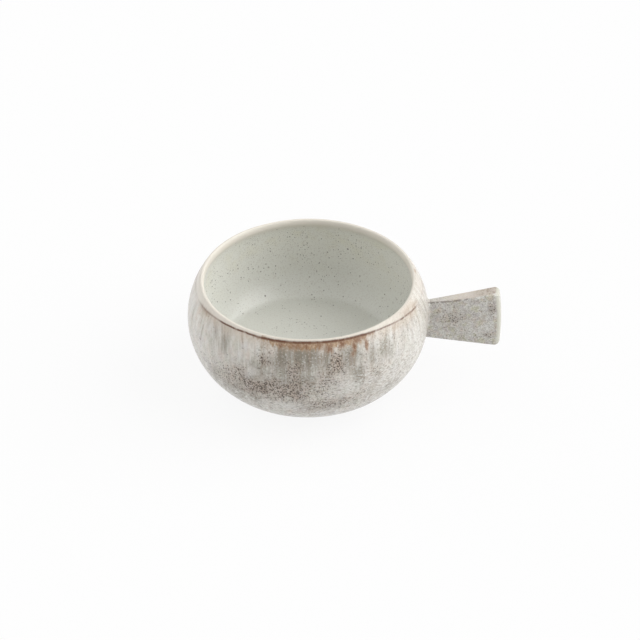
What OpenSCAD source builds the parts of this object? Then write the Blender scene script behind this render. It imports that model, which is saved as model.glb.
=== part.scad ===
// Round-bellied stoneware soup bowl with one flared lug handle, glazed inside and out.
// The bowl stands on a bare foot ring at z = 0, its axis is +Z and the lug points along +X.
// All sizes are in millimetres and are measured over the glaze.

/* [Bowl] */
// Widest diameter of the belly
belly_d = 130; // [112:1:170]
// Height from the table to the top of the lip
bowl_h = 65.5; // [56:0.5:74]
// Radius of the round outer wall, seen in section
wall_arc_r = 41; // [37:0.5:52]
// Thickness of the wall from the belly up
wall_t = 3.5; // [3:0.1:6]
// How much smaller the inside wall's curve is than an even wall's, which thickens the heel
inner_tuck = 6.5; // [0.5:0.5:8]
// Thickness of the lip
lip_t = 2.2; // [1.8:0.1:3]
// Radius of the shoulder on the inside, between the lip and the wall
shoulder_r = 3.6; // [2.4:0.2:8]
// Height of the inside floor above the table
floor_h = 16; // [14:0.5:20]
// Radius of the hollow where the floor meets the wall
floor_fillet_r = 8; // [3:0.5:12]
// Thickness of the base, from the inside floor to the recess below it
base_t = 8; // [5:0.5:10]

/* [Foot] */
// Outer diameter of the foot ring
foot_d = 72; // [60:1:84]
// Height of the foot ring
foot_h = 2; // [1.5:0.1:4]
// Width of the foot ring
foot_w = 5; // [3.5:0.5:9]
// Rounding of the foot ring's lower edges
foot_edge_r = 0.8; // [0.4:0.1:1.2]
// Rounding in the corner of the recess inside the foot ring
recess_fillet_r = 3; // [1:0.5:3]

/* [Lug handle] */
// How far the lug stands out from the belly
handle_reach = 38.3; // [26:0.1:54]
// Height of the lug's middle where it leaves the belly
handle_z = 37.2; // [34:0.2:44]
// Upward tilt of the lug, in degrees
handle_tilt = 2.5; // [-6:0.5:10]
// Height of the lug at the belly
handle_root_h = 23.2; // [16:0.2:30]
// Height of the lug at its outer corners
handle_end_h = 34; // [22:0.5:42]
// Thickness of the lug at the belly
handle_root_t = 4.6; // [3.6:0.2:8]
// Thickness of the lug at its outer corners
handle_end_t = 8.6; // [5:0.2:12]
// How far the lug's end bows out past its corners
handle_bow = 0.9; // [0.4:0.1:5]
// How far the end's upper corner is set back, and its lower corner set out
handle_end_skew = 0.6; // [0:0.2:2]
// Rounding of the lug's edges
handle_edge_r = 1.2; // [0.9:0.1:1.8]
// Thickness of the slip layer that bonds the lug to the wall
slip_t = 0.8; // [0.6:0.1:1.4]

/* [Glaze] */
// Thickness of every glaze coat
glaze_t = 0.5; // [0.3:0.05:0.7]
// How far the lip's cream coat runs down the outside from where the lip starts to round
rim_drop = 1.2; // [0.6:0.1:4]

/* [Hidden] */

// Facets of a full turn, and of each round stretch of a section
$fn = 128;
arc_steps = 24;
lip_steps = 12;
edge_steps = 6;
hull_fn = 20;
bow_steps = 6;

belly_r = belly_d / 2;
foot_r = foot_d / 2;
foot_in_r = foot_r - foot_w;
lip_r = lip_t / 2;

// The outer wall is one arc about [arc_c, belly_z], from the foot over the belly to the lip
arc_c = belly_r - wall_arc_r;
belly_z = foot_h + sqrt(pow(wall_arc_r, 2) - pow(foot_r - arc_c, 2));

// The inside wall below the belly is an arc about [inner_c, belly_z]
inner_arc_r = wall_arc_r - wall_t - inner_tuck;
inner_c = belly_r - wall_t - inner_arc_r;

// Angles up and down the outer arc where the lip starts to round and where the cream coat ends
lip_a = asin((bowl_h - lip_r - belly_z) / (wall_arc_r - lip_r));
rim_a = lip_a - rim_drop / wall_arc_r * 180 / PI;

// The inside shoulder touches both the lip's round and the wall
lip_reach = wall_arc_r - lip_r;
shoulder_reach = wall_arc_r - wall_t + shoulder_r;
shoulder_a = lip_a - acos((pow(lip_reach, 2) + pow(shoulder_reach, 2) - pow(shoulder_r - lip_r, 2))
                          / (2 * lip_reach * shoulder_reach));
shoulder_c = wall_point(shoulder_a, wall_t - shoulder_r);
lip_c = wall_point(lip_a, lip_r);
lip_turn = 180 + atan2(shoulder_c.y - lip_c.y, shoulder_c.x - lip_c.x);

// The hollow between floor and wall touches both
fillet_z = floor_h + floor_fillet_r;
fillet_gap = inner_arc_r - floor_fillet_r;
fillet_a = -asin((belly_z - fillet_z) / fillet_gap);
fillet_c = inner_c + fillet_gap * cos(fillet_a);

// The recess under the base
recess_h = floor_h - base_t;
recess_round = min(recess_fillet_r, recess_h - foot_h);

// The lug's own frame starts on the belly, and its root runs inside the wall
corner_reach = handle_reach - handle_bow;
root_r = min(outer_r(handle_z - handle_root_h / 2), outer_r(handle_z + handle_root_h / 2));
root_depth = belly_r - root_r + wall_t;

// Radius of the outer wall at a height
function outer_r(z) = arc_c + sqrt(pow(wall_arc_r, 2) - pow(z - belly_z, 2));

// Points of an arc from angle a0 to a1
function arc(c, r, a0, a1, steps) =
    [for (i = [0 : steps]) let (a = a0 + (a1 - a0) * i / steps) c + r * [cos(a), sin(a)]];

function reversed(points) = [for (i = [len(points) - 1 : -1 : 0]) points[i]];

// Angle down the outer arc at which a surface that lies cover deep meets the foot's side
function foot_a(cover) = -acos((foot_r - arc_c) / (wall_arc_r - cover));

// The point at an angle up the wall, that deep below its outer face
function wall_point(a, depth) = [arc_c, belly_z] + (wall_arc_r - depth) * [cos(a), sin(a)];

// Surfaces of the section, cover below the finished face
function inner_line(cover) = concat(
    [[0, floor_h - cover]],
    arc([fillet_c, fillet_z], floor_fillet_r + cover, -90, fillet_a, edge_steps),
    arc([inner_c, belly_z], inner_arc_r + cover, fillet_a, 0, arc_steps),
    arc([arc_c, belly_z], wall_arc_r - wall_t + cover, 0, shoulder_a, arc_steps));

function rim_line(cover) = concat(
    arc(shoulder_c, shoulder_r - cover, shoulder_a + 180, lip_turn, edge_steps),
    arc(lip_c, lip_r - cover, lip_turn, lip_a, lip_steps),
    arc([arc_c, belly_z], wall_arc_r - cover, lip_a, rim_a, edge_steps));

function outer_line(cover) =
    arc([arc_c, belly_z], wall_arc_r - cover, rim_a, foot_a(cover), 2 * arc_steps);

function recess_line(cover) = concat(
    [[foot_in_r - cover, foot_h]],
    arc([foot_in_r - recess_round, recess_h + glaze_t - recess_round], recess_round - cover,
        0, 90, edge_steps),
    [[0, recess_h + glaze_t - cover]]);

// A coat between the finished line and the clay under it
module coat(finished, clay) {
    rotate_extrude() polygon(concat(finished, reversed(clay)));
}

// Everything inside the outer wall, down to a depth below its finished face
module filled_bowl(depth) {
    wall = arc([arc_c, belly_z], wall_arc_r - depth, lip_a, foot_a(depth), 2 * arc_steps);
    rotate_extrude() polygon(concat([[0, wall[0].y]], wall, [[0, wall[len(wall) - 1].y]]));
}

// The lug in its own frame: x out from the belly, z up, with rounded edges
function lug_half_h(x) = (handle_root_h + (handle_end_h - handle_root_h) * x / corner_reach) / 2;
function lug_half_t(x) = (handle_root_t + (handle_end_t - handle_root_t) * x / corner_reach) / 2;

module edge_ball(x, half_t, z, cover) {
    for (side = [-1, 1])
        translate([x, side * (half_t - handle_edge_r), z])
            sphere(r = handle_edge_r - cover, $fn = hull_fn);
}

module lug_form(cover) {
    root_z = lug_half_h(-root_depth) - handle_edge_r;
    end_z = lug_half_h(corner_reach) - handle_edge_r;
    translate([belly_r, 0, handle_z]) rotate([0, -handle_tilt, 0]) hull() {
        for (up = [-1, 1]) edge_ball(-root_depth, lug_half_t(-root_depth), up * root_z, cover);
        for (i = [0 : bow_steps]) {
            share = 2 * i / bow_steps - 1;
            x = handle_reach - handle_edge_r - handle_bow * pow(share, 2) - handle_end_skew * share;
            edge_ball(x, lug_half_t(corner_reach), share * end_z, cover);
        }
    }
}

module bowl_body() {
    color("#cbbfae") rotate_extrude() polygon(concat(
        inner_line(glaze_t), rim_line(glaze_t), outer_line(glaze_t), [[foot_r, foot_h]],
        recess_line(0)));
}

module foot_ring() {
    inside = foot_in_r + foot_edge_r;
    outside = foot_r - foot_edge_r;
    color("#c9b79f") rotate_extrude() polygon(concat(
        [[foot_in_r, foot_h]],
        arc([inside, foot_edge_r], foot_edge_r, 180, 270, edge_steps),
        arc([outside, foot_edge_r], foot_edge_r, 270, 360, edge_steps),
        [[foot_r, foot_h]]));
}

module lug_handle() {
    color("#bfb3a3") difference() {
        lug_form(glaze_t);
        filled_bowl(glaze_t - slip_t);
    }
}

module handle_slip_joint() {
    color("#b5a48f") difference() {
        intersection() {
            lug_form(glaze_t);
            filled_bowl(glaze_t - slip_t);
        }
        filled_bowl(glaze_t);
    }
}

module inner_glaze() {
    color("#bfc0b8") coat(inner_line(0), inner_line(glaze_t));
}

module rim_glaze() {
    color("#e9e4d8") coat(rim_line(0), rim_line(glaze_t));
}

module outer_glaze() {
    color("#c9c5bd") difference() {
        coat(outer_line(0), outer_line(glaze_t));
        lug_form(glaze_t);
    }
}

module handle_glaze() {
    color("#aba69c") difference() {
        lug_form(0);
        lug_form(glaze_t);
        filled_bowl(0);
    }
}

module base_glaze() {
    color("#b9b4aa") coat(recess_line(glaze_t), recess_line(0));
}

bowl_body();
foot_ring();
lug_handle();
handle_slip_joint();
inner_glaze();
rim_glaze();
outer_glaze();
handle_glaze();
base_glaze();
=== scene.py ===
"""Dresses a stoneware soup bowl with one lug handle in its glazes, and stages it for a picture.

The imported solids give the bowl's place and main sizes. Each coat of glaze becomes a mesh of its own
that stands for its solid. +Z runs up the bowl's axis, +X out along the lug and -Y to the front.
"""

import math

import bmesh
import bpy
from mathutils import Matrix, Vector, noise


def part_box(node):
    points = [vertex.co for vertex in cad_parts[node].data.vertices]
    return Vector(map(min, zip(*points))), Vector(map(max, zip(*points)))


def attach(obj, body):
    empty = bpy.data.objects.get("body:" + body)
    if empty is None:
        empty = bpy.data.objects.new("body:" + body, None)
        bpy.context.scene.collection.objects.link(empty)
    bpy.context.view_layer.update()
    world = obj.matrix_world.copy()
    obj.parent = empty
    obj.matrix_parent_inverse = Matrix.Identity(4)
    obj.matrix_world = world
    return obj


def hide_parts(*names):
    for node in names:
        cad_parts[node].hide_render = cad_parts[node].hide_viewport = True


bl_info = {
    "name": "Lug soup bowl",
    "version": (1, 0, 0),
    "blender": (4, 5, 0),
    "location": "3D View > Sidebar > Soup bowl",
    "description": "Glazes and stages a stoneware soup bowl with one lug handle",
    "category": "Object",
}

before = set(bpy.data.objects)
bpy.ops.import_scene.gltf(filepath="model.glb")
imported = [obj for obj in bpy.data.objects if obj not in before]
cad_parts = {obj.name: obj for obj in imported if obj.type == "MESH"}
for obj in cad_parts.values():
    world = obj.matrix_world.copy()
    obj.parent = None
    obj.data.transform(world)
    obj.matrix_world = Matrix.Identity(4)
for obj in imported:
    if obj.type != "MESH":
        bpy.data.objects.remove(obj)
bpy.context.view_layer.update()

MM = 0.001
BODY = "root"
COAT_T = 0.5 * MM

# Vertices closer than this are one
WELD = 0.002 * MM
# Edges that turn more than this are creases
CREASE = math.radians(40)

# Steps of a full turn, and of each stretch of a section on its finished face
TURN_STEPS = 288
FLOOR_STEPS = 36
FILLET_STEPS = 10
WALL_STEPS = 32
SHOULDER_STEPS = 12
LIP_STEPS = 24
BORDER_STEPS = 4
OUTER_STEPS = 100
FOOT_STEPS = 6
# The clay face of a coat takes this share of those steps
CLAY_SHARE = 0.25

# Steps round the lug's outline and along it
LUG_FACE_STEPS = 30
LUG_EDGE_STEPS = 8
LUG_CORNER_STEPS = 6
LUG_LENGTH_STEPS = 40
LUG_END_STEPS = 8
ROOT_STEPS = 8
# Rounds in which the lug's root settles on the bowl's curved wall
SETTLE_ROUNDS = 6
# The flow ridges rise under the lip over this many of their widths
FLOW_FADE = 5
# Draw of the kiln warp, so that every run strays alike
WARP_SEED = 6

# How fast streaks and drips change down the wall, as a share of how fast they change across it
STREAK_FALL = 0.11
DRIP_FALL = 0.2
# How fast brush marks and dashes change along the wall, as a share of how fast they change up it
BRUSH_DRAW = 0.45

# Roughness of the clear top of every glaze, and the glaze's index of refraction
COAT_ROUGHNESS = 0.16
GLAZE_IOR = 1.5
FLOOR_ROUGHNESS = 0.9
# Tone of the grog and the clouds in bare clay, as a share of the clay's own
DARK_CLAY = 0.72
# Where a speck starts to show and where it is full, in its radii
SPECK_EDGE = (1.3, 0.7)
# Where a ragged cloud starts to show, in its half sizes, and how much noise shifts its edge
CLOUD_EDGE = 1.6
CLOUD_SHIFT = 3.0

# Soft lights: the way to each, and the cosines of the angles from there to its edge and to its core
RIGHT_LIGHT = ((0.81, 0, 0.56), 0.74, 0.98)
LEFT_LIGHT = ((-0.8, 0.1, 0.58), 0.5, 0.95)
TOP_LIGHT = ((0, 0, 1), 0.5, 1)
# Rays by which the camera sees the floor and the sky
SEEN_RAYS = ("Is Camera Ray", "Is Glossy Ray", "Is Transmission Ray")

# Ragged clouds on the wall: degrees round from the front towards the lug, height, half width and half
# height in millimetres, and weight. First the dark crust, the front before the back
DARK_CLOUDS = (
    (-20, 38, 20, 7, 1.0), (-6, 38, 8, 9, 0.9), (-30, 45, 7, 5, 0.6), (-43, 37, 11, 7, 0.45),
    (-6, 50, 5, 6, 0.6), (9, 29, 14, 5, 0.55), (8, 41, 10, 6, 0.45), (14, 55, 3, 6, 1.0),
    (11, 50, 6, 4, 0.5), (-20.5, 54.5, 3.5, 3, 0.7), (33, 44, 3, 14, 0.25), (24, 33, 12, 5, 0.25),
    (-12, 32, 8, 2.5, 0.85),
    (100, 38, 24, 9, 0.8), (150, 45, 18, 12, 0.7), (-170, 34, 22, 9, 0.9), (-115, 40, 24, 10, 0.8),
)
# Milky pools between the crust
PALE_POOLS = (
    (-11, 27.7, 9, 4, 1.0), (-25.7, 46.3, 3.5, 3.5, 0.9), (-62, 43, 12, 9, 0.5), (18, 39, 9, 5, 0.8),
    (40, 36, 12, 6, 0.5), (55, 44, 16, 16, 0.5), (-48, 40, 8, 5, 0.3), (-51, 48, 6, 6, 0.4),
    (71, 45, 5, 5, 0.7),
)
# Clusters of specks on the inside
SPECK_CLOUDS = (
    (183, 46, 6, 20, 1.0), (172, 30, 10, 8, 0.7), (150, 50, 12, 10, 0.6), (112, 38, 9, 10, 0.9),
    (-118, 40, 12, 10, 0.8), (-150, 52, 12, 8, 0.5),
)
# Amber runs below the iron line
RUNS = (
    (-13, 63, 1.2, 1.6, 0.9), (-0.4, 62.6, 1.1, 1.8, 1.0), (6, 63, 2, 2.2, 0.7),
    (10.6, 61.4, 2.0, 2.4, 1.0), (17.2, 62.9, 1.8, 1.8, 1.0), (23, 60.5, 1.4, 2.8, 1.0),
    (21.4, 57.2, 0.9, 1.6, 0.8), (29.2, 60.2, 1.5, 3.6, 1.0), (25, 62.8, 3.5, 1.4, 0.9),
    (-5, 62.6, 6, 1.6, 0.6), (-62, 62.2, 5, 1.4, 0.6), (48, 61.6, 3, 1.6, 0.35), (64, 61.6, 5, 1.2, 0.5),
)
# Amber strokes on the lip
LIP_STROKES = (
    (95, 65, 2.5, 0.7, 0.8), (60, 63.2, 6, 1.4, 0.4), (69, 62, 4, 1.2, 0.5), (-22, 64.8, 2, 0.5, 0.7),
)
# Greyer shades, the front before the back. The low ones, 26 to 30 mm high, are partly painted shade
# under the belly
SHADES = (
    (-2, 60, 17, 10, 1.0), (-14, 54, 9, 11, 0.85), (-46, 57, 9, 11, 0.3), (21, 57, 10, 8, 0.8),
    (-40, 28, 26, 8, 0.65), (6, 26, 18, 4, 0.35), (-16, 46, 14, 6, 0.6), (0, 47, 6, 5, 0.7),
    (-24, 50.5, 7, 3, 0.6), (31, 54, 6, 5, 0.6), (42, 29, 6, 4, 0.5), (38, 54.5, 6, 5, 0.7),
    (-18, 48.5, 5, 4, 0.7), (-12, 58, 5, 8, 1.0), (-42, 56, 4, 7, 0.7), (6, 57, 5, 6, 1.0),
    (23, 47, 5, 7, 0.8),
    (165, 58, 30, 26, 0.8), (-120, 58, 18, 20, 0.6), (110, 30, 26, 7, 0.5),
)
# The dark crust on the lug: middle and half sizes along it, across it and up it, and weight
LUG_CLOUDS = (
    (Vector((34, 0, 9)), Vector((2.5, 90, 5)), 1.0), (Vector((32, 0, -10)), Vector((7, 90, 1.5)), 0.9),
    (Vector((14, 0, 2)), Vector((8, 90, 5)), 0.8),
)


def linear(display):
    """Linear light of a display value from 0 to 255."""
    share = display / 255
    return share / 12.92 if share <= 0.04045 else ((share + 0.055) / 1.055) ** 2.4


def size(name, description, default):
    """A length in metres that a user may change."""
    return bpy.props.FloatProperty(
        name=name, description=description, default=default, unit="LENGTH", precision=5)


def angle(name, description, degrees):
    """An angle that a user may change."""
    return bpy.props.FloatProperty(
        name=name, description=description, default=math.radians(degrees), subtype="ANGLE")


def number(name, description, default):
    """A plain number that a user may change."""
    return bpy.props.FloatProperty(name=name, description=description, default=default)


def colour(name, description, red, green, blue):
    """A colour that a user may change, given here as display values from 0 to 255."""
    return bpy.props.FloatVectorProperty(
        name=name, description=description, subtype="COLOR", size=3, min=0, max=1,
        default=[linear(red), linear(green), linear(blue)])


class BowlSizes(bpy.types.PropertyGroup):
    """The bowl's section, measured over the glaze."""

    belly_r: size("Belly radius", "Widest radius of the bowl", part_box("outer_glaze")[1].y)
    lip_z: size("Lip height", "Height of the top of the lip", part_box("rim_glaze")[1].z)
    foot_r: size("Foot radius", "Outer radius of the foot ring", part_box("foot_ring")[1].y)
    foot_h: size("Foot height", "Height of the bare foot ring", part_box("foot_ring")[1].z)
    coat_t: size("Coat thickness", "Thickness of every glaze coat", COAT_T)
    floor_z: size("Floor height", "Height of the inside floor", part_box("inner_glaze")[0].z + COAT_T)
    recess_z: size("Recess height", "Height of the recess under the base",
                   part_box("base_glaze")[1].z - COAT_T)
    wall_arc_r: size("Wall curve", "Radius of the outer wall in section", 41 * MM)
    inner_arc_r: size("Inside curve", "Radius of the inside wall below the belly", 31 * MM)
    wall_t: size("Wall thickness", "Thickness of the wall from the belly up", 3.5 * MM)
    lip_t: size("Lip thickness", "Thickness of the lip", 2.2 * MM)
    shoulder_r: size("Inside shoulder", "Radius of the inside under the lip", 3.6 * MM)
    rim_drop: size("Rim coat drop", "How far the lip's coat runs below the lip's round", 1.2 * MM)
    fillet_r: size("Floor hollow", "Radius between the floor and the wall", 8 * MM)
    foot_w: size("Foot width", "Width of the foot ring", 5 * MM)
    foot_edge_r: size("Foot edge", "Rounding of the foot ring's lower edges", 0.8 * MM)
    recess_r: size("Recess corner", "Rounding in the corner of the recess", 3 * MM)
    warp: size("Kiln warp", "How far the clay strayed from true in the kiln", 0.22 * MM)
    warp_span: size("Warp span", "Length over which the warp changes", 30 * MM)
    flow: size("Glaze flow", "Height of the ridges that the glaze left as it ran", 0.07 * MM)
    flow_w: size("Flow width", "Width of those ridges", 2.6 * MM)
    flow_l: size("Flow length", "Length of those ridges", 18 * MM)


class LugSizes(bpy.types.PropertyGroup):
    """The lug, in its own frame: x out from the belly and z up, measured over the glaze."""

    reach: size("Reach", "How far the lug stands out from the belly", 38.9 * MM)
    height: size("Height", "Height of the lug's middle on the belly", 37.2 * MM)
    tilt: angle("Tilt", "Upward tilt of the lug", 2.5)
    root_h: size("Root height", "Height of the lug at the belly", 23.2 * MM)
    end_h: size("End height", "Height of the lug at its outer corners", 33.8 * MM)
    root_t: size("Root thickness", "Thickness of the lug at the belly", 4.6 * MM)
    end_t: size("End thickness", "Thickness of the lug at its outer corners", 8.5 * MM)
    bow: size("End bow", "How far the end bows out past its corners", 0.9 * MM)
    skew: size("End skew", "How far the upper corner is set back", 0.6 * MM)
    slant: size("End slant", "How much farther out the end lies at the back than in front", 1.4 * MM)
    edge_r: size("Edge", "Rounding of the lug's edges", 1.2 * MM)
    end_r: size("End edge", "Rounding of the edges round the lug's end", 2.6 * MM)
    pool_r: size("Root hollow", "Radius of the glaze that pools round the root", 1.5 * MM)
    pool_depth: size("Root tuck", "How far the pooled glaze runs under the bowl's coat", 0.3 * MM)


class GlazeColours(bpy.types.PropertyGroup):
    """The colours of the clay and of the glazes."""

    clay: colour("Clay", "Fired stoneware", 203, 188, 166)
    slip: colour("Slip", "Fired joining slip", 186, 166, 140)
    celadon: colour("Celadon", "Inside coat", 232, 232, 225)
    straw: colour("Straw", "Warm clouds in the inside coat", 228, 226, 210)
    # Pool is painted shade: the inside's tone towards the floor, darker to stand in for how the light
    # falls there
    pool: colour("Pool", "Inside coat where it lies thicker, towards the floor", 208, 209, 202)
    cream: colour("Cream", "The coat over the lip", 219, 213, 202)
    pale: colour("Pale", "Palest ground of the outside coat", 219, 214, 206)
    ash: colour("Ash", "Grey ground of the outside coat", 190, 185, 176)
    lilac: colour("Lilac", "Cool streaks of the outside coat", 194, 189, 190)
    blush: colour("Blush", "Warm streaks of the outside coat", 204, 189, 176)
    frost: colour("Frost", "Milky patches of the outside coat", 219, 218, 213)
    sage: colour("Sage", "Greenish ground of the outside coat", 198, 197, 184)
    olive: colour("Olive", "Yellow-green flecks of the lug's coat", 196, 194, 160)
    moss: colour("Moss", "Greenish clouds of the outside coat", 129, 122, 108)
    umber: colour("Umber", "Mottling low on the wall", 146, 131, 116)
    speck: colour("Speck", "Darkest specks", 76, 62, 50)
    rust: colour("Rust", "Iron line under the lip", 94, 56, 33)
    peach: colour("Peach", "Palest runs below the iron line", 183, 160, 134)
    amber: colour("Amber", "Runs below the iron line", 152, 119, 84)
    tan: colour("Tan", "Darker runs below the iron line", 122, 82, 53)


class StageSettings(bpy.types.PropertyGroup):
    """The camera, the light and the floor."""

    aim_x: size("Aim along the lug", "Where the camera looks, along X", 6.3 * MM)
    aim_z: size("Aim height", "Where the camera looks, along Z", 36.21 * MM)
    distance: size("Camera distance", "Distance from the camera to its aim", 709 * MM)
    elevation: angle("Camera elevation", "Angle of view above the table", 36.25)
    lens: number("Lens", "Focal length in millimetres on a 36 mm sensor", 73.4)
    sky: number("Sky", "Strength of the even light from all round", 0.38)
    right_light: number("Right light", "What the light at the right adds to the sky", 3.3)
    left_light: number("Left light", "What the light at the left adds to the sky", 0.8)
    top_light: number("Top light", "What the light overhead adds to the sky", 0.25)
    floor_size: size("Floor size", "Side of the floor", 4.0)
    floor_tone: number("Floor tone", "How much light the floor gives back", 0.75)
    floor_white: number("Floor white", "Share of plain white in the floor that the camera sees", 0.9)


class SoupBowlSettings(bpy.types.PropertyGroup):
    """Everything that shapes and colours the bowl."""

    bowl: bpy.props.PointerProperty(type=BowlSizes)
    lug: bpy.props.PointerProperty(type=LugSizes)
    glaze: bpy.props.PointerProperty(type=GlazeColours)
    stage: bpy.props.PointerProperty(type=StageSettings)


def settings():
    """The scene's own settings of the bowl."""
    return bpy.context.scene.soup_bowl


class Section:
    """The bowl's half section over the glaze: x is the distance from the axis, y the height."""

    def __init__(self, bowl):
        self.bowl = bowl
        self.arc_c = bowl.belly_r - bowl.wall_arc_r
        toe = bowl.foot_r - self.arc_c
        self.belly_z = bowl.foot_h + math.sqrt(bowl.wall_arc_r ** 2 - toe ** 2)
        self.centre = Vector((self.arc_c, self.belly_z))
        lip_r = bowl.lip_t / 2
        self.lip_a = math.asin((bowl.lip_z - lip_r - self.belly_z) / (bowl.wall_arc_r - lip_r))
        self.rim_a = self.lip_a - bowl.rim_drop / bowl.wall_arc_r
        self.lip_c = self.wall_point(self.lip_a, lip_r)
        near = bowl.wall_arc_r - lip_r
        far = bowl.wall_arc_r - bowl.wall_t + bowl.shoulder_r
        apart = bowl.shoulder_r - lip_r
        drop = math.acos((near ** 2 + far ** 2 - apart ** 2) / (2 * near * far))
        self.shoulder_a = self.lip_a - drop
        self.shoulder_c = self.wall_point(self.shoulder_a, bowl.wall_t - bowl.shoulder_r)
        out = self.shoulder_c - self.lip_c
        self.lip_turn = math.pi + math.atan2(out.y, out.x)
        self.inner_c = bowl.belly_r - bowl.wall_t - bowl.inner_arc_r
        self.fillet_z = bowl.floor_z + bowl.fillet_r
        gap = bowl.inner_arc_r - bowl.fillet_r
        self.fillet_a = -math.asin((self.belly_z - self.fillet_z) / gap)
        self.fillet_c = self.inner_c + gap * math.cos(self.fillet_a)
        self.foot_in_r = bowl.foot_r - bowl.foot_w

    def outer_r(self, z):
        """Radius of the outer wall at a height."""
        return self.arc_c + math.sqrt(self.bowl.wall_arc_r ** 2 - (z - self.belly_z) ** 2)

    def wall_point(self, a, depth):
        """The point at an angle up the wall, that deep below its outer face."""
        return self.centre + (self.bowl.wall_arc_r - depth) * Vector((math.cos(a), math.sin(a)))

    def inner_line(self, cover, share=1):
        """From the middle of the floor up the inside to the lip's coat."""
        bowl = self.bowl
        floor = bowl.floor_z - cover
        flat = count(FLOOR_STEPS, share)
        line = [Vector((self.fillet_c * i / flat, floor)) for i in range(flat)]
        line += arc(Vector((self.fillet_c, self.fillet_z)), bowl.fillet_r + cover,
                    -math.pi / 2, self.fillet_a, count(FILLET_STEPS, share))
        line += arc(Vector((self.inner_c, self.belly_z)), bowl.inner_arc_r + cover,
                    self.fillet_a, 0, count(WALL_STEPS, share))[1:]
        return line + arc(self.centre, bowl.wall_arc_r - bowl.wall_t + cover, 0, self.shoulder_a,
                          count(WALL_STEPS, share))[1:]

    def rim_line(self, cover, share=1):
        """Over the inside shoulder and the lip, from the inside coat to the outside one."""
        bowl = self.bowl
        line = arc(self.shoulder_c, bowl.shoulder_r - cover, self.shoulder_a + math.pi, self.lip_turn,
                   count(SHOULDER_STEPS, share))
        line += arc(self.lip_c, bowl.lip_t / 2 - cover, self.lip_turn, self.lip_a,
                    count(LIP_STEPS, share))[1:]
        return line + arc(self.centre, bowl.wall_arc_r - cover, self.lip_a, self.rim_a,
                          count(BORDER_STEPS, share))[1:]

    def outer_line(self, cover, share=1):
        """Down the outside, from the lip's coat to the foot."""
        radius = self.bowl.wall_arc_r - cover
        toe = -math.acos((self.bowl.foot_r - self.arc_c) / radius)
        return arc(self.centre, radius, self.rim_a, toe, count(OUTER_STEPS, share))

    def recess_line(self, cover, share=1):
        """From the foot ring into the recess and in to the axis."""
        bowl = self.bowl
        round_r = min(bowl.recess_r, bowl.recess_z - bowl.foot_h)
        top = bowl.recess_z + bowl.coat_t
        line = [Vector((self.foot_in_r - cover, bowl.foot_h))]
        line += arc(Vector((self.foot_in_r - round_r, top - round_r)), round_r - cover,
                    0, math.pi / 2, count(FOOT_STEPS, share))
        flat = count(FLOOR_STEPS, share)
        inner = self.foot_in_r - round_r
        return line + [Vector((inner * (1 - i / flat), top - cover)) for i in range(1, flat + 1)]

    def foot_line(self):
        """Round the bare foot ring."""
        bowl = self.bowl
        edge = bowl.foot_edge_r
        line = [Vector((self.foot_in_r, bowl.foot_h))]
        line += arc(Vector((self.foot_in_r + edge, edge)), edge, math.pi, 1.5 * math.pi, FOOT_STEPS)
        line += arc(Vector((bowl.foot_r - edge, edge)), edge, 1.5 * math.pi, math.tau, FOOT_STEPS)
        return line + [Vector((bowl.foot_r, bowl.foot_h))]


def count(steps, share):
    """A share of a number of steps, and at least one."""
    return max(1, round(steps * share))


def arc(centre, radius, start, end, steps):
    """Points of an arc from one angle to another."""
    turn = [start + (end - start) * i / steps for i in range(steps + 1)]
    return [centre + radius * Vector((math.cos(a), math.sin(a))) for a in turn]


def ease(low, high, value):
    """0 below low, 1 above high and a smooth step between."""
    share = min(1, max(0, (value - low) / (high - low)))
    return share * share * (3 - 2 * share)


def revolved(finished, clay):
    """A closed ring with a finished face and a clay face, turned about the bowl's axis."""
    bm = bmesh.new()
    skin = bm.verts.layers.int.new("skin")
    section = []
    for line, face in ((finished, 1), (clay[::-1], 0)):
        for point in line:
            vert = bm.verts.new((point.x, 0, point.y))
            vert[skin] = face
            section.append(vert)
    ring = []
    for a, b in zip(section, section[1:] + section[:1]):
        if max(a.co.x, b.co.x) > WELD:
            ring.append(bm.edges.new((a, b)))
    bmesh.ops.spin(bm, geom=section + ring, cent=(0, 0, 0), axis=(0, 0, 1), angle=math.tau,
                   steps=TURN_STEPS, use_merge=True)
    bmesh.ops.remove_doubles(bm, verts=bm.verts, dist=WELD)
    bmesh.ops.recalc_face_normals(bm, faces=bm.faces)
    return bm


def warp(bm, bowl):
    """Strays a coat a little from true, alike in each one, and less towards the foot."""
    noise.seed_set(WARP_SEED)
    for vert in bm.verts:
        hold = ease(0, bowl.recess_z, vert.co.z)
        vert.co += bowl.warp * hold * noise.noise_vector(vert.co / bowl.warp_span)


def add_piece(name, bm, finish, node):
    """Makes an object of a mesh that rides on the one body and stands for a node, which it hides."""
    for face in bm.faces:
        face.smooth = True
    for edge in bm.edges:
        edge.smooth = edge.calc_face_angle(0) < CREASE
    mesh = bpy.data.meshes.new(name)
    bm.to_mesh(mesh)
    bm.free()
    mesh.materials.append(finish)
    piece = bpy.data.objects.new(name, mesh)
    bpy.context.scene.collection.objects.link(piece)
    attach(piece, BODY)
    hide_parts(node)


class Value:
    """A number that changes over a surface. Python's operators on it add Math nodes."""

    def __init__(self, nodes, socket):
        self.nodes = nodes
        self.socket = socket

    def math(self, operation, *values):
        """A Math node on these values."""
        return self.nodes.node("Math", {"operation": operation}, dict(enumerate(values)))

    def __add__(self, other):
        return self.math("ADD", self, other)

    def __sub__(self, other):
        return self.math("SUBTRACT", self, other)

    def __rsub__(self, other):
        return self.math("SUBTRACT", other, self)

    def __mul__(self, other):
        return self.math("MULTIPLY", self, other)

    def __truediv__(self, other):
        return self.math("DIVIDE", self, other)

    def __pow__(self, other):
        return self.math("POWER", self, other)

    def __abs__(self):
        return self.math("ABSOLUTE", self)

    def most(self, other):
        """The larger of two values."""
        return self.math("MAXIMUM", self, other)

    __radd__ = __add__
    __rmul__ = __mul__


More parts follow.
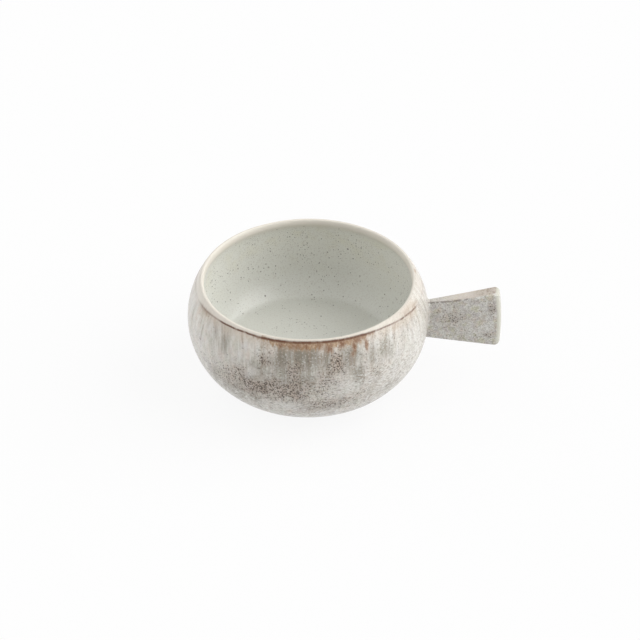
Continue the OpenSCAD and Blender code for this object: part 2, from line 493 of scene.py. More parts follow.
class Nodes:
    """A node tree under way."""

    def __init__(self, tree):
        self.tree = tree

    def node(self, kind, choices=None, inputs=None, output=0):
        """Adds a node with its settings and its inputs, which are values or links."""
        node = self.tree.nodes.new("ShaderNode" + kind)
        for name, choice in (choices or {}).items():
            setattr(node, name, choice)
        for key, value in (inputs or {}).items():
            self.feed(node.inputs[key], value)
        return Value(self, node.outputs[output])

    def feed(self, socket, value):
        """Links a value to a socket, or sets a plain number or colour on it."""
        if isinstance(value, Value):
            self.tree.links.new(value.socket, socket)
        elif socket.type == "RGBA":
            socket.default_value = (*value, 1)
        else:
            socket.default_value = value

    def step(self, value, low, high):
        """0 below low, 1 above high and a smooth step between, or the other way round."""
        return self.node("MapRange", {"interpolation_type": "SMOOTHSTEP"},
                         {"Value": value, "From Min": low, "From Max": high})

    def seen(self):
        """1 for what the camera sees, straight, in a gloss or through glass, and 0 for other light."""
        straight, gloss, glass = (self.node("LightPath", output=ray) for ray in SEEN_RAYS)
        return straight.most(gloss).most(glass)


class Finish(Nodes):
    """A material under way, which reads its place on the bowl in millimetres."""

    def __init__(self, name):
        self.material = bpy.data.materials.new(name)
        self.material.use_nodes = True
        super().__init__(self.material.node_tree)
        self.shader = self.tree.nodes["Principled BSDF"]
        place = self.node("TexCoord", output="Object")
        self.place = self.node("VectorMath", {"operation": "SCALE"}, {0: place, "Scale": 1 / MM})
        self.x, self.y, self.z = (self.node("SeparateXYZ", {}, {0: self.place}, axis) for axis in "XYZ")
        self.radius = (self.x ** 2 + self.y ** 2) ** 0.5
        self.east = self.x / self.radius
        self.south = 0 - self.y / self.radius
        self.belly = settings().bowl.belly_r / MM

    def set(self, **inputs):
        """Feeds the shader's sockets, named with _ for a space."""
        for key, value in inputs.items():
            self.feed(self.shader.inputs[key.replace("_", " ")], value)

    def vector(self, x, y, z):
        """A vector of three values."""
        return self.node("CombineXYZ", {}, {0: x, 1: y, 2: z})

    def below_lip(self):
        """How far below the top of the lip a place lies."""
        return settings().bowl.lip_z / MM - self.z

    def wrapped(self):
        """The place moved out to the belly's radius, so that patterns keep their width up the wall."""
        return self.vector(self.east * self.belly, self.south * self.belly, self.z)

    def running(self, fall):
        """The place drawn out downwards: plumb as seen from the front, down the wall elsewhere."""
        front = self.step(self.south, 0.25, 0.6)
        across = self.x * front + self.east * self.belly * (1 - front)
        return self.vector(across, self.south * self.belly * (1 - front), self.z * fall)

    def sideways(self):
        """The place drawn out level, for brush marks and dashes."""
        return self.vector(self.x * BRUSH_DRAW, self.y * BRUSH_DRAW, self.z)

    def mix(self, share, first, second):
        """Two colours mixed by a share."""
        return self.node("Mix", {"data_type": "RGBA"}, {0: share, 6: first, 7: second}, 2)

    def noise(self, vector, span, detail=2.0, roughness=0.5):
        """Clouds about that many millimetres across, mostly from 0.3 to 0.7."""
        return self.node("TexNoise", {}, {"Vector": vector, "Scale": 1 / span, "Detail": detail,
                                          "Roughness": roughness})

    def moved(self, vector, offset):
        """A vector moved along, for a pattern of its own."""
        return self.node("VectorMath", {"operation": "ADD"}, {0: vector, 1: (offset, offset, offset)})

    def specks(self, vector, spacing, least, most, crowd):
        """Round specks of mixed sizes in a share of the cells. 1 on a speck and 0 off it."""
        seed = {"Vector": vector, "Scale": 1 / spacing}
        near = self.node("TexVoronoi", {}, seed, "Distance") * spacing
        draws = self.node("TexVoronoi", {}, seed, "Color")
        reach = least + (most - least) * self.node("SeparateColor", {}, {0: draws}, "Green") ** 2
        chosen = self.step(crowd - self.node("SeparateColor", {}, {0: draws}, "Red"), 0, 0.03)
        return self.step(near / reach, *SPECK_EDGE) * chosen

    def bump(self, height, distance):
        """A normal from a height of 0 to 1, that many millimetres high."""
        return self.node("Bump", {}, {"Strength": 1.0, "Distance": distance * MM, "Height": height})


def clay_finish(name, tone):
    """Bare fired clay: fine grog and faint clouds on a matte ground."""
    f = Finish(name)
    grain = f.noise(f.place, 0.5, 3)
    cloud = f.noise(f.place, 9, 3)
    dark = [DARK_CLAY * c for c in tone]
    body = f.mix(f.step(cloud, 0.35, 0.65) * 0.45, tone, dark)
    grog = f.specks(f.place, 1.6, 0.1, 0.35, f.noise(f.place, 7) + 0.1)
    f.set(Base_Color=f.mix(grog * 0.6, body, dark), Roughness=0.78 + 0.15 * grain,
          Normal=f.bump(grain, 0.08))
    return f.material


def inside_colour(f, colours):
    """The celadon of the inside, finely grained, painted darker towards the floor as shade, and cream
    under the lip.
    """
    warm = f.step(f.noise(f.moved(f.place, 70), 13, 4, 0.6), 0.48, 0.70)
    ground = f.mix(warm * 0.6, colours.celadon, colours.straw)
    # Painted shade: the coat is painted darker from the upper wall down to the floor, standing in for
    # how the light falls inside
    ground = f.mix(f.step(f.z, 56, 22) * 0.9, ground, colours.pool)
    grain = f.noise(f.place, 0.8, 3, 0.7)
    ground = f.mix(f.step(grain, 0.50, 0.68) * 0.7, ground, colours.ash)
    return f.mix(f.step(f.below_lip(), 9.0, 0.6), ground, colours.cream)


def inside_specks(f):
    """Iron specks in the celadon, gathered in loose clusters."""
    clump = f.noise(f.place, 14, 2)
    crowd = wall_clouds(f, SPECK_CLOUDS, clump) * 0.85 + f.step(clump, 0.44, 0.62) * 0.3 + 0.08
    fine = f.specks(f.place, 1.4, 0.22, 0.42, crowd * 0.9)
    coarse = f.specks(f.moved(f.place, 40), 3.6, 0.32, 0.55, crowd)
    return (fine * 0.8).most(coarse * 0.95)


def outside_colour(f, colours):
    """The reactive glaze of the outside: streaks high on the wall, dark mottling below them."""
    ground = marbled(f, colours, f.wrapped())
    # Painted shade: the right half is greyed to damp the light that falls on it from the right
    ground = f.mix(f.step(f.east, 0.2, 0.6) * 0.3, ground, colours.ash)
    ground = streaked(f, colours, ground)
    ground = brushed(f, colours, ground)
    clump = f.noise(f.moved(f.place, 19), 5, 4, 0.65)
    crowd = wall_clouds(f, DARK_CLOUDS, clump)
    pool = wall_clouds(f, PALE_POOLS, clump)
    ground = crusted(f, colours, ground, crowd * (1 - 0.7 * pool))
    ground = f.mix(pool * 0.55, ground, colours.frost)
    ground = peppered(f, colours, ground, clump)
    return rim_lines(f, colours, ground)


def streaked(f, colours, ground):
    """Greyer shades, then milky and brown streaks high on the wall, all under a fine grain."""
    streaky = f.running(STREAK_FALL)
    reach = f.noise(f.moved(streaky, 7), 4, 3, 0.6)
    high = f.step(f.z + 24 * (reach - 0.5), 40, 54)
    shade = wall_clouds(f, SHADES, reach)
    ground = f.mix(shade, ground, colours.moss)
    thin = f.noise(f.moved(streaky, 11), 2.0, 3, 0.65)
    left = f.step(f.east, -0.3, -0.6)
    milky = f.step(thin, 0.52, 0.61) * high * (1 - (0.95 * shade).most(0.4 * left))
    ground = f.mix(milky * 0.8, ground, colours.frost)
    uneven = f.step(f.noise(f.moved(f.wrapped(), 41), 9, 2), 0.36, 0.6)
    faded = f.step(thin, 0.48, 0.37) * high * (0.25 + 0.35 * uneven + 0.3 * shade)
    ground = f.mix(faded, ground, colours.umber)
    smooth = 0.6 * f.step(f.east, -0.25, -0.5) * high
    return grained(f, colours, ground, 0.85 - smooth.most(0.35 * shade), 0.9)


def brushed(f, colours, ground):
    """Grain drawn out sideways, low on the wall and all over its right half."""
    grain = f.noise(f.moved(f.sideways(), 37), 0.9, 3, 0.65)
    broad = f.step(f.z, 50, 43) * f.step(f.east, -0.15, 0.15).most(f.step(f.z, 32, 28))
    ground = f.mix(f.step(grain, 0.53, 0.65) * broad * 0.75, ground, colours.umber)
    return f.mix(f.step(grain, 0.48, 0.37) * broad * 0.95, ground, colours.frost)


def peppered(f, colours, ground, clump):
    """Loose dark specks, thicker in the clumps and low on the wall, and few on the upper left."""
    low = f.step(f.z, 50, 42)
    often = 0.12 + 0.2 * low + 0.5 * f.step(clump, 0.46, 0.64)
    bare = f.step(f.east, -0.25, -0.5) * f.step(f.z, 40, 46)
    specks = f.specks(f.moved(f.sideways(), 23), 1.2, 0.22, 0.45, often * (1 - 0.8 * bare))
    specks = specks * (1 - 0.4 * f.step(f.east, 0.3, 0.7))
    return f.mix(specks * (0.5 + 0.2 * low), ground, colours.speck)


def wall_clouds(f, places, clump):
    """Ragged clouds on the wall, from degrees round, heights, half sizes and weights."""
    spots = []
    for turn, height, half_w, half_h, weight in places:
        a = math.radians(turn)
        middle = Vector((f.belly * math.sin(a), f.belly * math.cos(a), height))
        spots.append((middle, Vector((half_w, half_w, half_h)), weight))
    return clouds(f, f.wrapped(), spots, clump)


def grained(f, colours, body, share, span):
    """Fine milky and grey grain over a ground."""
    grain = f.noise(f.moved(f.place, 31), span, 3, 0.7)
    body = f.mix(f.step(grain, 0.51, 0.70) * share, body, colours.moss)
    return f.mix(f.step(grain, 0.48, 0.30) * share, body, colours.frost)


def crusted(f, colours, body, crowd):
    """Dark crystals over a ground, as dense as crowd, in a brown haze."""
    grain = f.noise(f.moved(f.place, 5), 0.85, 2, 0.6)
    haze = f.step(f.noise(f.moved(f.place, 66), 4, 3, 0.6), 0.25, 0.6)
    body = f.mix(crowd * (0.4 + 0.5 * haze), body, colours.umber)
    body = f.mix(f.step(grain, 0.46, 0.34) * crowd * 0.75, body, colours.blush)
    dark = f.step(grain + 0.12 * crowd, 0.57, 0.70) * f.step(crowd, 0.0, 0.3)
    return f.mix(dark * 0.95, body, colours.speck)


def marbled(f, colours, vector):
    """The pale ground of the outside glaze, clouded with its softer tones."""
    body = colours.pale
    tones = ((colours.ash, 29, 7, 0.75), (colours.blush, 57, 5, 0.55), (colours.lilac, 83, 7, 0.5),
             (colours.sage, 12, 6, 0.7))
    for tone, offset, span, share in tones:
        cloud = f.step(f.noise(f.moved(vector, offset), span, 4, 0.6), 0.44, 0.66)
        body = f.mix(cloud * share, body, tone)
    return body


def clouds(f, vector, spots, clump):
    """1 inside the ragged clouds of a list and 0 away from all of them."""
    total = None
    for middle, half, weight in spots:
        off = f.node("VectorMath", {"operation": "SUBTRACT"}, {0: vector, 1: middle})
        off = f.node("VectorMath", {"operation": "DIVIDE"}, {0: off, 1: half})
        away = f.node("VectorMath", {"operation": "LENGTH"}, {0: off}, "Value")
        cloud = f.step(away + CLOUD_SHIFT * (clump - 0.5), CLOUD_EDGE, 0) * weight
        total = cloud if total is None else total.most(cloud)
    return total


def rim_lines(f, colours, ground):
    """Cream over the lip, the iron line under it and the amber runs that bleed down from the line."""
    level = f.running(DRIP_FALL)
    wobble = f.noise(f.moved(level, 91), 7, 3, 0.6) - 0.5
    line = 0.95 + (4.2 + f.east) * f.east ** 4 + wobble * 0.8
    under = f.below_lip() - line
    front, middle, faint = line_zones(f)
    drip = f.noise(f.moved(level, 47), 1.5, 3, 0.65)
    blot = f.noise(f.moved(f.wrapped(), 13), 1.3, 3, 0.7)
    ground = f.mix(f.step(under + 6 * (drip - 0.5), 6, 0.5) * 0.35 * faint, ground, colours.peach)
    depth = 0.3 + 0.8 * front + 1.4 * middle + 9.0 * (drip - 0.5)
    band = f.step(under - depth, 0.5, -0.5) * front
    run = wall_clouds(f, RUNS, drip)
    tone = f.mix(f.step(blot, 0.40, 0.54), colours.peach, colours.amber)
    deep = f.step(under, 1.2, 0.3) * 0.6
    tone = f.mix(deep.most(run * f.step(drip * 0.5 + blot * 0.5, 0.30, 0.46)), tone, colours.tan)
    ground = f.mix((band * 0.9).most(run * 0.95) * f.step(under, -0.4, 0.2), ground, tone)
    # Painted shade: the cream is thinner on the right, to damp the light that falls on the lip from the
    # right
    lip = f.step(under, 0.3, -1.2) * (0.8 - 0.4 * f.step(f.east, 0.5, 0.9))
    ground = f.mix(lip, ground, colours.cream)
    ground = f.mix(wall_clouds(f, LIP_STROKES, blot), ground, colours.amber)
    broken = f.step(f.noise(f.moved(level, 3), 3.5, 3, 0.6), 0.36, 0.56)
    return iron_line(f, colours, ground, under, broken, front, faint)


def line_zones(f):
    """Where the iron line is strong, where its runs are longest, and where it is at least faint."""
    facing = f.step(f.south, 0, 0.3)
    front = f.step(f.east, -0.6, -0.3) * f.step(f.east, 0.66, 0.48) * facing
    middle = f.step(f.east, -0.32, -0.2) * f.step(f.east, 0.55, 0.4) * facing
    faint = f.step(f.east, -0.985, -0.9) * f.step(f.east, 0.97, 0.9) * facing
    return front, middle, faint.most(0.55 * f.step(f.south, 0.35, -0.1))


def iron_line(f, colours, ground, under, broken, front, faint):
    """The broken iron line itself, smeared brown at the far left."""
    smear = f.step(f.east, -0.82, -0.90) * faint * (0.1 + 0.35 * broken)
    ground = f.mix(f.step(abs(under), 1.7, 0.3) * smear, ground, colours.umber)
    weak = faint * (0.45 + 0.4 * broken + 0.2 * f.step(f.east, 0, -0.3))
    weak = weak * f.step(f.east, -0.88, -0.72).most(0.45)
    strength = (front * (0.7 + 0.3 * broken)).most(weak)
    core = f.step(abs(under), 0.62 + 0.18 * front, 0.1)
    return f.mix(core * strength, ground, colours.rust)


def glaze_shader(f, tone, height, gloss, depth, coat=0.3):
    """Satin-gloss glaze over a ground."""
    f.set(Base_Color=tone, Roughness=gloss, Normal=f.bump(height, depth), Coat_Weight=coat,
          Coat_Roughness=COAT_ROUGHNESS, IOR=GLAZE_IOR)
    return f.material


def inner_finish(colours):
    """The inside coat."""
    f = Finish("inner_glaze")
    specks = inside_specks(f)
    body = f.mix(specks * 0.8, inside_colour(f, colours), colours.speck)
    peel = f.noise(f.place, 2.4, 2)
    return glaze_shader(f, body, peel * 0.7 - specks * 0.5, 0.30 + 0.12 * peel, 0.05)


def outer_finish(colours):
    """The outside coat."""
    f = Finish("outer_glaze")
    body = outside_colour(f, colours)
    peel = f.noise(f.place, 1.7, 3)
    return glaze_shader(f, body, peel, 0.26 + 0.2 * peel, 0.07)


def rim_finish(colours, section):
    """The lip's coat, which meets the inside and the outside coats in their own colours."""
    f = Finish("rim_glaze")
    inner = inside_colour(f, colours)
    outer = outside_colour(f, colours)
    crest = section.lip_c.x / MM
    body = f.mix(f.step(f.radius, crest - 0.2, crest + 0.6), inner, outer)
    peel = f.noise(f.place, 2.0, 2)
    return glaze_shader(f, body, peel, 0.36 + 0.14 * peel, 0.04, 0.1)


def base_finish(colours):
    """The thin coat in the recess."""
    f = Finish("base_glaze")
    specks = inside_specks(f)
    body = f.mix(f.step(f.noise(f.place, 12, 3), 0.35, 0.65) * 0.6, colours.ash, colours.moss)
    body = f.mix(specks * 0.8, body, colours.speck)
    peel = f.noise(f.place, 2, 3)
    return glaze_shader(f, body, peel, 0.35 + 0.15 * peel, 0.05)


def lug_finish(colours, form):
    """The lug's coat: grained grey faces, a dark line near the upper edge that is partly the glaze's
    break and partly painted shade, and a pale end that is partly a painted highlight.
    """
    f = Finish("handle_glaze")
    lug = form.lug
    out = f.x - f.belly
    rise = f.z - lug.height / MM
    along = out * math.cos(lug.tilt) + rise * math.sin(lug.tilt)
    up = rise * math.cos(lug.tilt) - out * math.sin(lug.tilt)
    clump = f.noise(f.moved(f.place, 52), 4, 4, 0.65)
    ground = lug_face(f, colours, f.vector(along, 0, up), clump)
    ground = lug_top(f, colours, ground, form, along, up)
    share = up / (lug.end_h / 2 / MM)
    end = along - lug.reach / MM + (lug.bow / MM) * share ** 2 + (lug.skew / MM) * share
    end = end - (f.y / (lug.end_t / MM) + 0.5) * (lug.slant / MM)
    # The pale end is partly a painted highlight: it stands for the light on the end's rounding
    tip = f.step(end + 0.8 * (clump - 0.5), -2.6, -1.4)
    ground = f.mix(tip * 0.9, ground, colours.sage)
    # Paler where glaze pools at the root, and partly a painted highlight of the glint where the lug
    # meets the wall
    root = f.step((f.radius - f.belly) + 0.02 * rise ** 2, 2.4, 0.6)
    ground = f.mix(root * 0.15, ground, colours.pale)
    return glaze_shader(f, ground, clump, 0.32 + 0.15 * clump, 0.08)


def lug_face(f, colours, flat, clump):
    """The grained grey of the lug, with coloured flecks, wandering lines and dark crust."""
    ground = f.mix(0.9, marbled(f, colours, f.place), colours.frost)
    for tone, offset in ((colours.olive, 61), (colours.blush, 35), (colours.lilac, 90)):
        tint = f.step(f.noise(f.moved(f.place, offset), 4, 3, 0.6), 0.50, 0.62)
        ground = f.mix(tint * 0.6, ground, tone)
    ground = grained(f, colours, ground, 1.0, 0.75)
    wander = f.step(abs(f.noise(f.moved(f.place, 88), 1.6, 1) - 0.5), 0.08, 0.02)
    ground = f.mix(wander * 0.3, ground, colours.moss)
    crowd = f.step(clump, 0.42, 0.7) * 0.2
    crowd = crowd.most(clouds(f, flat, LUG_CLOUDS, clump) * 0.5)
    return crusted(f, colours, ground, crowd)


def lug_top(f, colours, ground, form, along, up):
    """The top of the lug behind a line, in a grey of its own and browner towards its end, and a ragged
    dark line. The split is painted shade: the strip before the line keeps the front face's paint, so the
    front's shade reaches over the edge to the line.
    """
    half_h = form.half_h(along * MM) / MM
    half_t = form.half_t(along * MM) / MM
    # How far below the line a place lies. The line slants over the edge and sinks as it goes out
    depth = (half_t - f.y) * 0.59 + (half_h - up) * 0.81 - 2.3 - along * (0.155 - 0.003 * along)
    # Painted shade: behind the line is the lit top, and the strip before it keeps the front face's
    # darker paint
    top = f.step(up - half_h, -1.5, -0.5) * f.step(depth, 0.2, -0.4)
    ground = f.mix(top * 0.5, ground, colours.ash)
    ground = f.mix(top * f.step(along, 6, 18) * 0.4, ground, colours.blush)
    spots = f.step(f.noise(f.moved(f.place, 77), 1.4, 3, 0.6), 0.45, 0.58) * f.step(along, 20, 32)
    ground = f.mix(top * (0.3 * f.step(along, 18, 30)).most(spots * 0.8), ground, colours.umber)
    # The dark line: partly the glaze's break, partly painted shade where the lit top meets the shaded
    # front, drawn back from the real edge
    edge = f.step(abs(depth), 0.8, 0.1) * f.step(abs(up - half_h + 0.6), 2.2, 1.5)
    ragged = f.step(f.noise(f.moved(f.place, 9), 2.5, 3, 0.6) + 0.012 * (14 - along), 0.42, 0.56)
    return f.mix(edge * ragged * 0.6, ground, colours.speck)


class Lug:
    """The lug's form over the glaze. Its outline is a rounded rectangle that grows outwards."""

    def __init__(self, lug, section):
        self.lug = lug
        self.section = section
        self.corner_x = lug.reach - lug.bow - lug.end_r

    def half_h(self, x):
        """Half the lug's height, that far out."""
        lug = self.lug
        return (lug.root_h + (lug.end_h - lug.root_h) * x / self.corner_x) / 2

    def half_t(self, x):
        """Half the lug's thickness, that far out."""
        lug = self.lug
        return (lug.root_t + (lug.end_t - lug.root_t) * x / self.corner_x) / 2

    def to_bowl(self, x, y, z):
        """A point of the lug's frame in the bowl's."""
        c, s = math.cos(self.lug.tilt), math.sin(self.lug.tilt)
        return Vector((self.section.bowl.belly_r + x * c - z * s, y, self.lug.height + x * s + z * c))

    def root_x(self, y, z):
        """How far out in the lug's frame the bowl's wall lies, at a place across the lug."""
        c, s = math.cos(self.lug.tilt), math.sin(self.lug.tilt)
        x = 0
        for _ in range(SETTLE_ROUNDS):
            wall = self.section.outer_r(self.lug.height + x * s + z * c)
            x = (math.sqrt(wall ** 2 - y ** 2) - self.section.bowl.belly_r + z * s) / c
        return x

    def end_x(self, y, z):
        """How far out the bowed end lies, at a place across the lug."""
        share = z / (self.half_h(self.corner_x) - self.lug.edge_r)
        back = self.lug.slant * (y / self.lug.end_t + 0.5)
        return self.lug.reach - self.lug.bow * share ** 2 - self.lug.skew * share + back

    def outline(self):
        """Round the outline: each point's place on the core, as shares, and the way it faces."""
        points = []
        corners = [(1, 1), (-1, 1), (-1, -1), (1, -1)]
        for k, (core_y, core_z) in enumerate(corners):
            for i in range(LUG_CORNER_STEPS + 1):
                a = math.pi / 2 * (k + i / LUG_CORNER_STEPS)
                points.append((core_y, core_z, math.cos(a), math.sin(a)))
            next_y, next_z = corners[(k + 1) % len(corners)]
            steps = LUG_EDGE_STEPS if core_y != next_y else LUG_FACE_STEPS
            a = math.pi / 2 * (k + 1)
            for i in range(1, steps):
                t = i / steps
                points.append((core_y + (next_y - core_y) * t, core_z + (next_z - core_z) * t,
                               math.cos(a), math.sin(a)))
        return points

    def across(self, point, x, grow):
        """A point of the outline that far out, with the outline grown or shrunk."""
        core_y, core_z, face_y, face_z = point
        edge = self.lug.edge_r + grow
        inset = self.lug.edge_r - min(edge, 0)
        edge = max(edge, 0)
        y = core_y * max(self.half_t(x) - inset, 0) + face_y * edge
        return y, core_z * (self.half_h(x) - inset) + face_z * edge

    def root_point(self, point, grow, lift):
        """A point of the pooled glaze at the root, above the bowl's wall."""
        y, z = self.across(point, 0, grow)
        y, z = self.across(point, self.root_x(y, z), grow)
        return self.to_bowl(self.root_x(y, z) + lift, y, z)

    def side_point(self, point, share):
        """A point on the lug's side, a share of the way from the root's pool to the end's rounding."""
        y, z = self.across(point, 0, 0)
        start = self.root_x(*self.across(point, self.root_x(y, z), 0)) + self.lug.pool_r
        end = self.end_x(*self.across(point, self.corner_x, 0)) - self.lug.end_r
        x = start + (end - start) * share
        return self.to_bowl(x, *self.across(point, x, 0))

    def end_point(self, point, grow, back):
        """A point on the rounding of the end or on the end itself, back from the bowed face."""
        y, z = self.across(point, self.corner_x, grow)
        return self.to_bowl(self.end_x(y, z) - back, y, z)

    def stations(self):
        """Functions that place the outline at each station from the root to the middle of the end."""
        lug = self.lug
        rows = [lambda p: self.root_point(p, lug.pool_r, -lug.pool_depth)]
        for i in range(ROOT_STEPS):
            a = math.pi / 2 * (1 - i / ROOT_STEPS)
            grow, lift = lug.pool_r * (1 - math.cos(a)), lug.pool_r * (1 - math.sin(a))
            rows.append(lambda p, g=grow, h=lift: self.root_point(p, g, h))
        for i in range(LUG_LENGTH_STEPS):
            rows.append(lambda p, s=i / LUG_LENGTH_STEPS: self.side_point(p, s))
        for i in range(LUG_END_STEPS + 1):
            a = math.pi / 2 * i / LUG_END_STEPS
            inset, back = lug.end_r * (1 - math.cos(a)), lug.end_r * (1 - math.sin(a))
            rows.append(lambda p, g=-inset, b=back: self.end_point(p, g, b))
        half = self.half_t(self.corner_x)
        for i in range(1, LUG_END_STEPS + 1):
            inset = lug.end_r + (half - lug.end_r) * i / LUG_END_STEPS
            rows.append(lambda p, g=-inset: self.end_point(p, g, 0))
        return rows

    def mesh(self, coat_t):
        """The lug's coat, open at the root and with its own thickness."""
        points = self.outline()
        bm = bmesh.new()
        spot = bm.verts.layers.int.new("spot")
        ring = bmesh.ops.create_circle(bm, segments=len(points), radius=self.lug.root_h)["verts"]
        for k, vert in enumerate(ring):
            vert[spot] = k
        edges = bm.edges[:]
        rows = self.stations()
        for vert in ring:
            vert.co = rows[0](points[vert[spot]])
        for place in rows[1:]:
            grown = bmesh.ops.extrude_edge_only(bm, edges=edges)["geom"]
            edges = [g for g in grown if isinstance(g, bmesh.types.BMEdge)]
            for vert in grown:
                if isinstance(vert, bmesh.types.BMVert):
                    vert.co = place(points[vert[spot]])
        bmesh.ops.remove_doubles(bm, verts=bm.verts, dist=WELD)
        bmesh.ops.recalc_face_normals(bm, faces=bm.faces)
        bmesh.ops.solidify(bm, geom=bm.faces[:], thickness=coat_t)
        return bm


def flow_ridges(bm, bowl, section):
    """Raises the faint ridges that the outside glaze left as it ran down."""
    skin = bm.verts.layers.int["skin"]
    top = section.wall_point(section.rim_a, 0).y
    for vert in bm.verts:
        if not vert[skin]:
            continue
        flat = Vector((vert.co.x, vert.co.y))
        out = flat.normalized()
        hub = Vector((*(out * section.arc_c), section.belly_z))
        fade = ease(0, FLOW_FADE * bowl.flow_w, top - vert.co.z)
        fade *= ease(bowl.recess_z, bowl.floor_z, vert.co.z)
        wrapped = Vector((*(out * bowl.belly_r / bowl.flow_w), vert.co.z / bowl.flow_l))
        vert.co += bowl.flow * fade * noise.noise(wrapped) * (vert.co - hub).normalized()


def open_for_lug(bm, lug, bowl):
    """Cuts the coat away where the lug is joined to the clay, and closes the cut's sides."""
    half_y = lug.root_t / 2 - bowl.coat_t / 2
    half_z = lug.root_h / 2 - bowl.coat_t / 2
    low, high = lug.height - half_z, lug.height + half_z
    near = 2 * lug.root_t
    cuts = [((0, half_y, 0), (0, 1, 0)), ((0, -half_y, 0), (0, 1, 0)),
            ((0, 0, low), (0, 0, 1)), ((0, 0, high), (0, 0, 1))]
    for point, normal in cuts:
        faces = [f for f in bm.faces if f.calc_center_median().x > 0
                 and abs(f.calc_center_median().y) < near]
        geom = set(faces)
        for face in faces:
            geom.update(face.edges)
            geom.update(face.verts)
        bmesh.ops.bisect_plane(bm, geom=list(geom), dist=WELD, plane_co=point, plane_no=normal)
    inside = []
    for face in bm.faces:
        middle = face.calc_center_median()
        if middle.x > 0 and abs(middle.y) < half_y and low < middle.z < high:
            inside.append(face)
    bmesh.ops.delete(bm, geom=inside, context="FACES")
    bmesh.ops.bridge_loops(bm, edges=[e for e in bm.edges if e.is_boundary])


class SOUPBOWL_OT_clay(bpy.types.Operator):
    """Gives the solids of clay and slip under the glaze their fired finish"""

    bl_idname = "soup_bowl.clay"
    bl_label = "Fire the clay"

    def execute(self, context):
        colours = settings().glaze
        stoneware = clay_finish("stoneware", colours.clay)
        slip = clay_finish("slip", colours.slip)
        for node, finish in (("bowl_body", stoneware), ("lug_handle", stoneware),
                             ("handle_slip_joint", slip)):
            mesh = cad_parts[node].data
            mesh.materials.clear()
            mesh.materials.append(finish)
        return {"FINISHED"}


class SOUPBOWL_OT_foot(bpy.types.Operator):
    """Turns the bare foot ring"""

    bl_idname = "soup_bowl.foot"
    bl_label = "Turn the foot ring"

    def execute(self, context):
        bm = revolved(Section(settings().bowl).foot_line(), [])
        finish = clay_finish("bare_stoneware", settings().glaze.clay)
        add_piece("foot", bm, finish, "foot_ring")
        return {"FINISHED"}


class SOUPBOWL_OT_inner_coat(bpy.types.Operator):
    """Glazes the inside"""

    bl_idname = "soup_bowl.inner_coat"
    bl_label = "Glaze the inside"

    def execute(self, context):
        bowl = settings().bowl
        section = Section(bowl)
        bm = revolved(section.inner_line(0), section.inner_line(bowl.coat_t, CLAY_SHARE))
        warp(bm, bowl)
        add_piece("inner_coat", bm, inner_finish(settings().glaze), "inner_glaze")
        return {"FINISHED"}


class SOUPBOWL_OT_rim_coat(bpy.types.Operator):
    """Glazes the lip"""

    bl_idname = "soup_bowl.rim_coat"
    bl_label = "Glaze the lip"

    def execute(self, context):
        bowl = settings().bowl
        section = Section(bowl)
        bm = revolved(section.rim_line(0), section.rim_line(bowl.coat_t, CLAY_SHARE))
        warp(bm, bowl)
        add_piece("rim_coat", bm, rim_finish(settings().glaze, section), "rim_glaze")
        return {"FINISHED"}


class SOUPBOWL_OT_outer_coat(bpy.types.Operator):
    """Glazes the outside, with an opening where the lug is joined"""

    bl_idname = "soup_bowl.outer_coat"
    bl_label = "Glaze the outside"

    def execute(self, context):
        bowl = settings().bowl
        section = Section(bowl)
        bm = revolved(section.outer_line(0), section.outer_line(bowl.coat_t, CLAY_SHARE))
        flow_ridges(bm, bowl, section)
        open_for_lug(bm, settings().lug, bowl)
        warp(bm, bowl)
        add_piece("outer_coat", bm, outer_finish(settings().glaze), "outer_glaze")
        return {"FINISHED"}


class SOUPBOWL_OT_lug_coat(bpy.types.Operator):
    """Glazes the lug handle"""

    bl_idname = "soup_bowl.lug_coat"
    bl_label = "Glaze the lug"

    def execute(self, context):
        bowl = settings().bowl
        form = Lug(settings().lug, Section(bowl))
        bm = form.mesh(bowl.coat_t)
        warp(bm, bowl)
        add_piece("lug_coat", bm, lug_finish(settings().glaze, form), "handle_glaze")
        return {"FINISHED"}


class SOUPBOWL_OT_base_coat(bpy.types.Operator):
    """Glazes the recess inside the foot ring"""

    bl_idname = "soup_bowl.base_coat"
    bl_label = "Glaze the recess"

    def execute(self, context):
        bowl = settings().bowl
        section = Section(bowl)
        bm = revolved(section.recess_line(bowl.coat_t), section.recess_line(0, CLAY_SHARE))
        add_piece("base_coat", bm, base_finish(settings().glaze), "base_glaze")
        return {"FINISHED"}


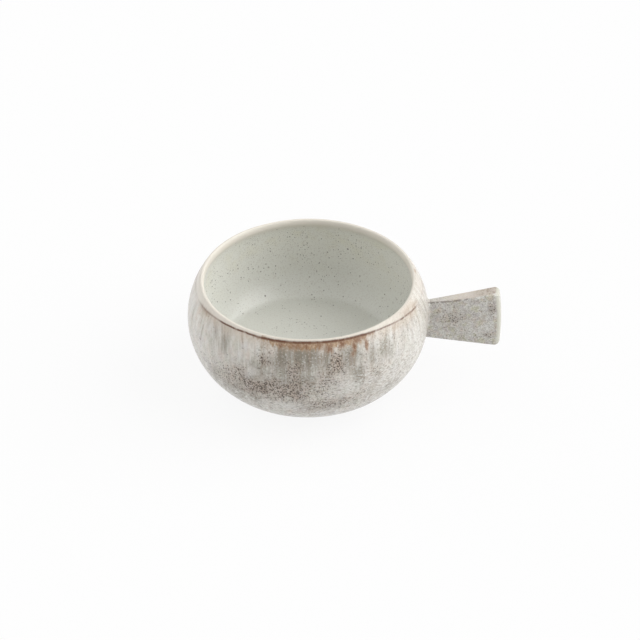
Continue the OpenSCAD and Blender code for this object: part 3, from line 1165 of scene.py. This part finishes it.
class SOUPBOWL_OT_stage(bpy.types.Operator):
    """Sets up the floor, the light and the camera"""

    bl_idname = "soup_bowl.stage"
    bl_label = "Set the stage"

    def execute(self, context):
        stage = settings().stage
        aim = Vector((stage.aim_x, 0, stage.aim_z))
        self.floor(stage)
        self.sky(context, stage)
        camera = bpy.data.cameras.new("camera")
        camera.lens = stage.lens
        viewer = bpy.data.objects.new("camera", camera)
        out = Vector((0, -math.cos(stage.elevation), math.sin(stage.elevation)))
        viewer.location = aim + stage.distance * out
        viewer.rotation_euler = (math.pi / 2 - stage.elevation, 0, 0)
        context.scene.collection.objects.link(viewer)
        context.scene.camera = viewer
        context.scene.view_settings.view_transform = "Standard"
        return {"FINISHED"}

    def floor(self, stage):
        """A pale floor that the camera sees as nearly white, with the bowl's shadow on it."""
        bm = bmesh.new()
        bmesh.ops.create_grid(bm, x_segments=1, y_segments=1, size=stage.floor_size / 2)
        mesh = bpy.data.meshes.new("floor")
        bm.to_mesh(mesh)
        bm.free()
        material = bpy.data.materials.new("floor")
        material.use_nodes = True
        nodes = Nodes(material.node_tree)
        pale = nodes.tree.nodes["Principled BSDF"]
        nodes.feed(pale.inputs["Base Color"], [stage.floor_tone] * 3)
        nodes.feed(pale.inputs["Roughness"], FLOOR_ROUGHNESS)
        mixed = nodes.node("MixShader", {}, {0: nodes.seen() * stage.floor_white,
                                             1: Value(nodes, pale.outputs[0]),
                                             2: nodes.node("Emission")})
        nodes.feed(nodes.tree.nodes["Material Output"].inputs["Surface"], mixed)
        mesh.materials.append(material)
        floor = bpy.data.objects.new("floor", mesh)
        bpy.context.scene.collection.objects.link(floor)

    def sky(self, context, stage):
        """Even light with soft lights at the sides and overhead. The camera sees it as white."""
        world = bpy.data.worlds.new("sky")
        world.use_nodes = True
        nodes = Nodes(world.node_tree)
        way = nodes.node("TexCoord", output="Generated")
        light = stage.sky
        for (centre, edge, core), strength in ((RIGHT_LIGHT, stage.right_light),
                                               (LEFT_LIGHT, stage.left_light),
                                               (TOP_LIGHT, stage.top_light)):
            near = nodes.node("VectorMath", {"operation": "DOT_PRODUCT"},
                              {0: way, 1: Vector(centre).normalized()}, "Value")
            light = light + nodes.step(near, edge, core) * strength
        background = nodes.tree.nodes["Background"]
        nodes.feed(background.inputs["Color"], (1, 1, 1))
        nodes.feed(background.inputs["Strength"], light.most(nodes.seen()))
        context.scene.world = world


class SOUPBOWL_PT_panel(bpy.types.Panel):
    """Lists the steps that make the bowl"""

    bl_idname = "SOUPBOWL_PT_panel"
    bl_label = "Soup bowl"
    bl_space_type = "VIEW_3D"
    bl_region_type = "UI"
    bl_category = "Soup bowl"

    def draw(self, context):
        for step in STEPS:
            self.layout.operator(step.bl_idname)
        for group in (settings().bowl, settings().lug, settings().glaze, settings().stage):
            box = self.layout.box()
            for name in group.__annotations__:
                box.prop(group, name)


GROUPS = (BowlSizes, LugSizes, GlazeColours, StageSettings, SoupBowlSettings)
STEPS = (SOUPBOWL_OT_clay, SOUPBOWL_OT_foot, SOUPBOWL_OT_inner_coat, SOUPBOWL_OT_rim_coat,
         SOUPBOWL_OT_outer_coat, SOUPBOWL_OT_lug_coat, SOUPBOWL_OT_base_coat, SOUPBOWL_OT_stage)


def register():
    for cls in (*GROUPS, *STEPS, SOUPBOWL_PT_panel):
        bpy.utils.register_class(cls)
    bpy.types.Scene.soup_bowl = bpy.props.PointerProperty(type=SoupBowlSettings)


def unregister():
    del bpy.types.Scene.soup_bowl
    for cls in reversed((*GROUPS, *STEPS, SOUPBOWL_PT_panel)):
        bpy.utils.unregister_class(cls)


def main():
    """Makes the whole bowl."""
    register()
    ops = bpy.ops.soup_bowl
    ops.clay()
    ops.foot()
    ops.inner_coat()
    ops.rim_coat()
    ops.outer_coat()
    ops.lug_coat()
    ops.base_coat()
    ops.stage()


if __name__ == "__main__":
    main()
